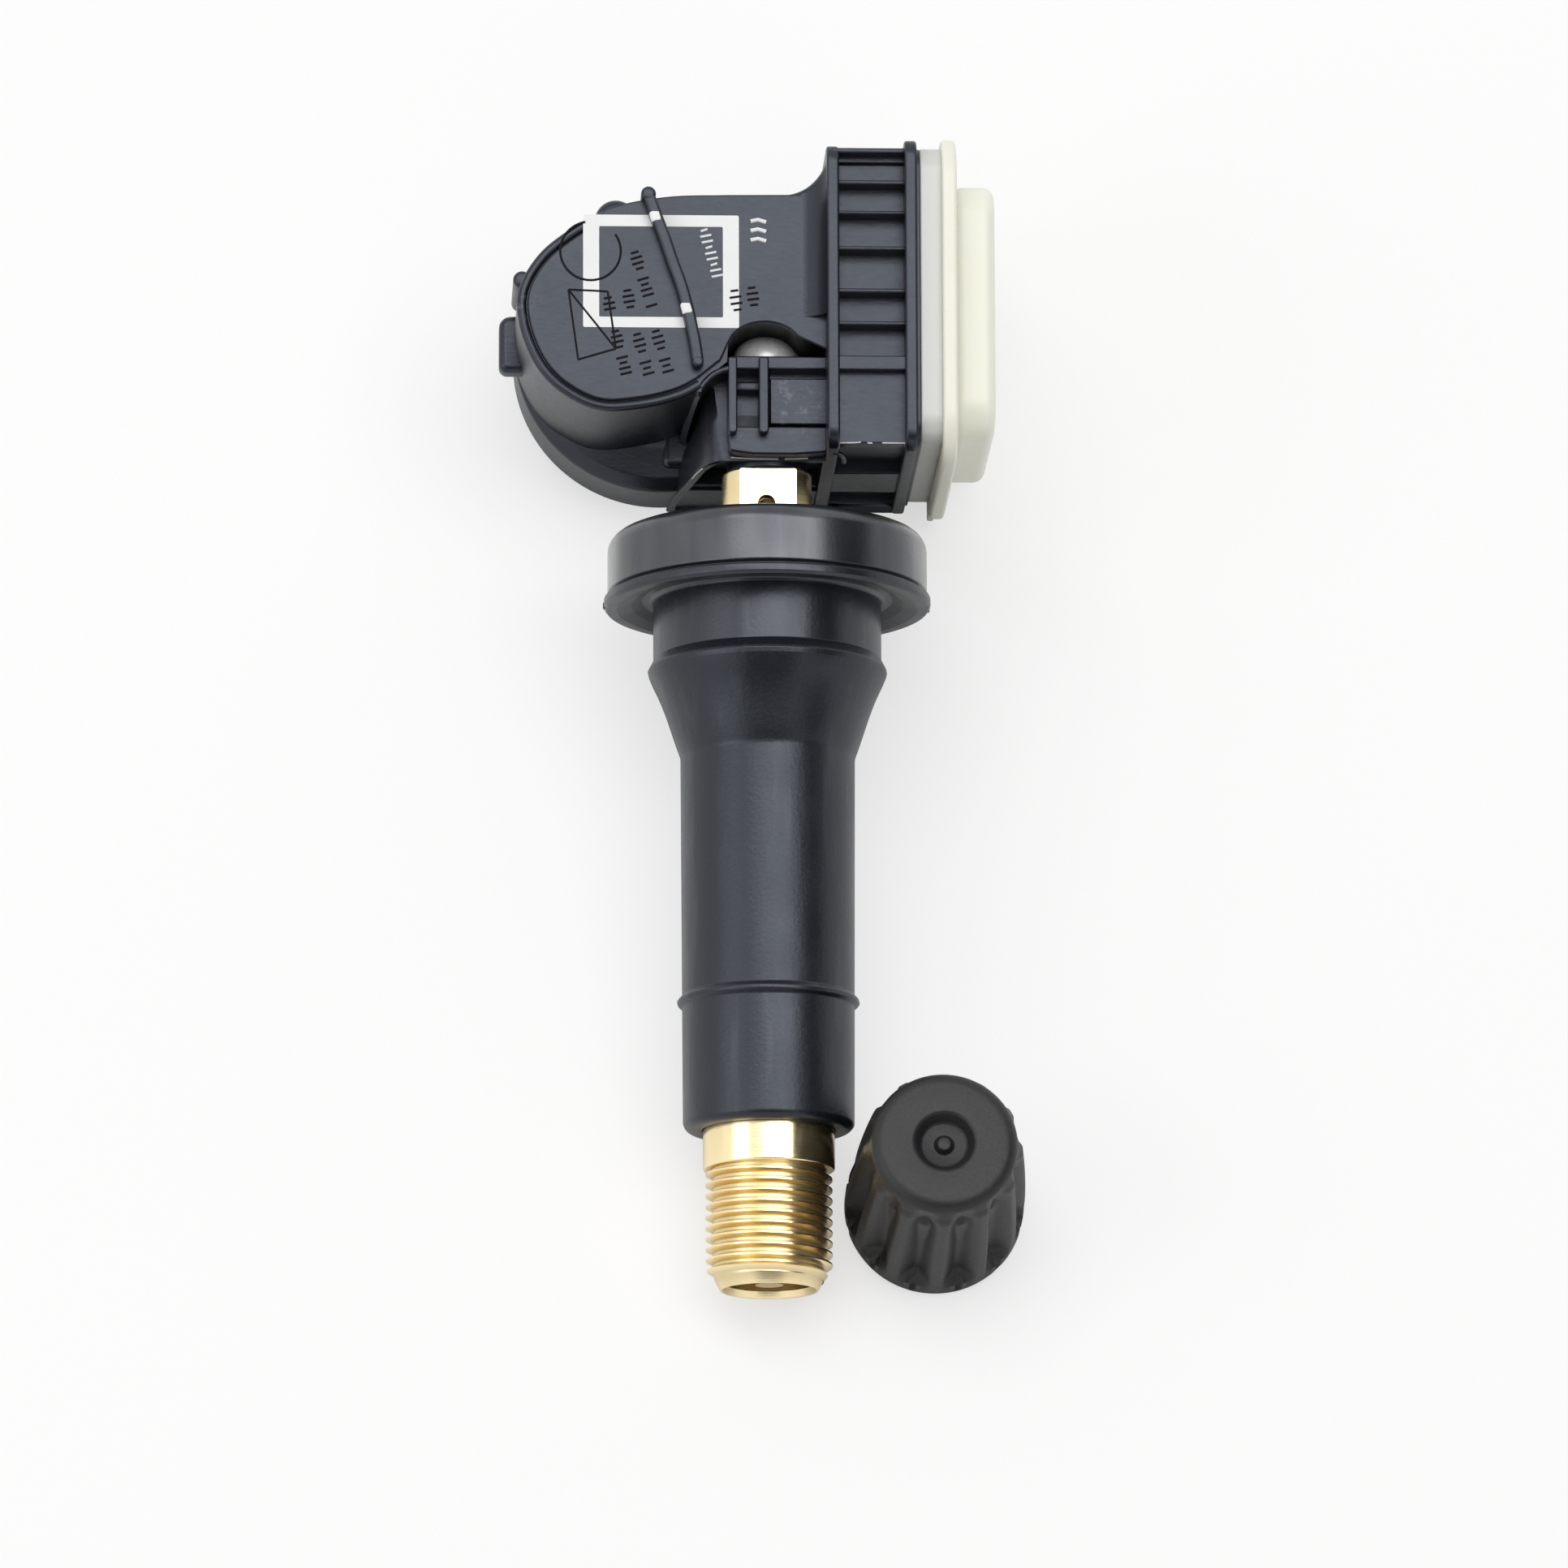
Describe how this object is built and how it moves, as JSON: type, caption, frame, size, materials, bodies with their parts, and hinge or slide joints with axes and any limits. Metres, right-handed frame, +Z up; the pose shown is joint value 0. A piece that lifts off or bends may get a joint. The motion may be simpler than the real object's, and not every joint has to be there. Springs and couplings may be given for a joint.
{
  "type": "tyre pressure sensor",
  "caption": "Tyre pressure sensor on a snap-in rubber valve, with a ribbed housing, a pale end cover, a sprung valve core and its valve cap beside it.",
  "frame": {"origin": "centre of the rim seat, on the axis of the valve stem, where the flange's front face meets the groove", "axes": "+Z up from the ground that the sensor and its cap lie on, +Y from the valve mouth to the housing along the ground, +X towards the end cover; the stem dips 8.4 degrees towards its mouth"},
  "size_m": [0.0321, 0.0717, 0.0211],
  "materials": {
    "rubber": "moulded, satin",
    "stem_brass": "turned and polished",
    "core_brass": "turned",
    "core_plating": "nickel plated",
    "core_seal_red": "moulded",
    "core_rubber": "moulded",
    "spring_steel": "drawn wire",
    "housing_nylon": "glass-filled nylon, fine satin",
    "cover_plastic": "translucent white, satin",
    "screw_steel": "bright plated",
    "board_laminate": "solder mask",
    "cell_steel": "plated steel can",
    "tab_nickel": "nickel strip",
    "chip_epoxy": "moulded epoxy",
    "port_silicone": "silicone",
    "coil_copper": "enamelled copper on ferrite",
    "crystal_can": "plated can",
    "antenna_brass": "stamped strip",
    "capacitor_ceramic": "fired, tinned ends",
    "cap_plastic": "moulded, matt"
  },
  "bodies": {
    "sensor": {"rubber_body": "rubber", "brass_stem": "stem_brass", "core_barrel": "core_brass", "core_plug": "core_plating", "core_seal": "core_seal_red", "cap_washer": "core_rubber", "core_spring": "spring_steel", "housing": "housing_nylon", "end_cover": "cover_plastic", "retaining_screw": "screw_steel", "circuit_board": "board_laminate", "coin_cell": "cell_steel", "battery_tab_plus": "tab_nickel", "battery_tab_minus": "tab_nickel", "pressure_chip": "chip_epoxy", "port_seal": "port_silicone", "pickup_coil": "coil_copper", "crystal": "crystal_can", "antenna_strip": "antenna_brass", "board_capacitors": "capacitor_ceramic", "cap_shell": "cap_plastic"},
    "core_pin_set": {"core_pin": "core_brass", "core_cup": "core_brass", "cup_seal": "core_rubber"}
  },
  "joints": [
    {"name": "core_pin_slide", "type": "slide", "parent": "sensor", "child": "core_pin_set", "axis": [0, 0.9893, 0.1461], "range_m": [0, 0.001], "stiffness_N_per_m": 400, "springref_m": -0.003, "deforming": ["core_spring"]}
  ]
}
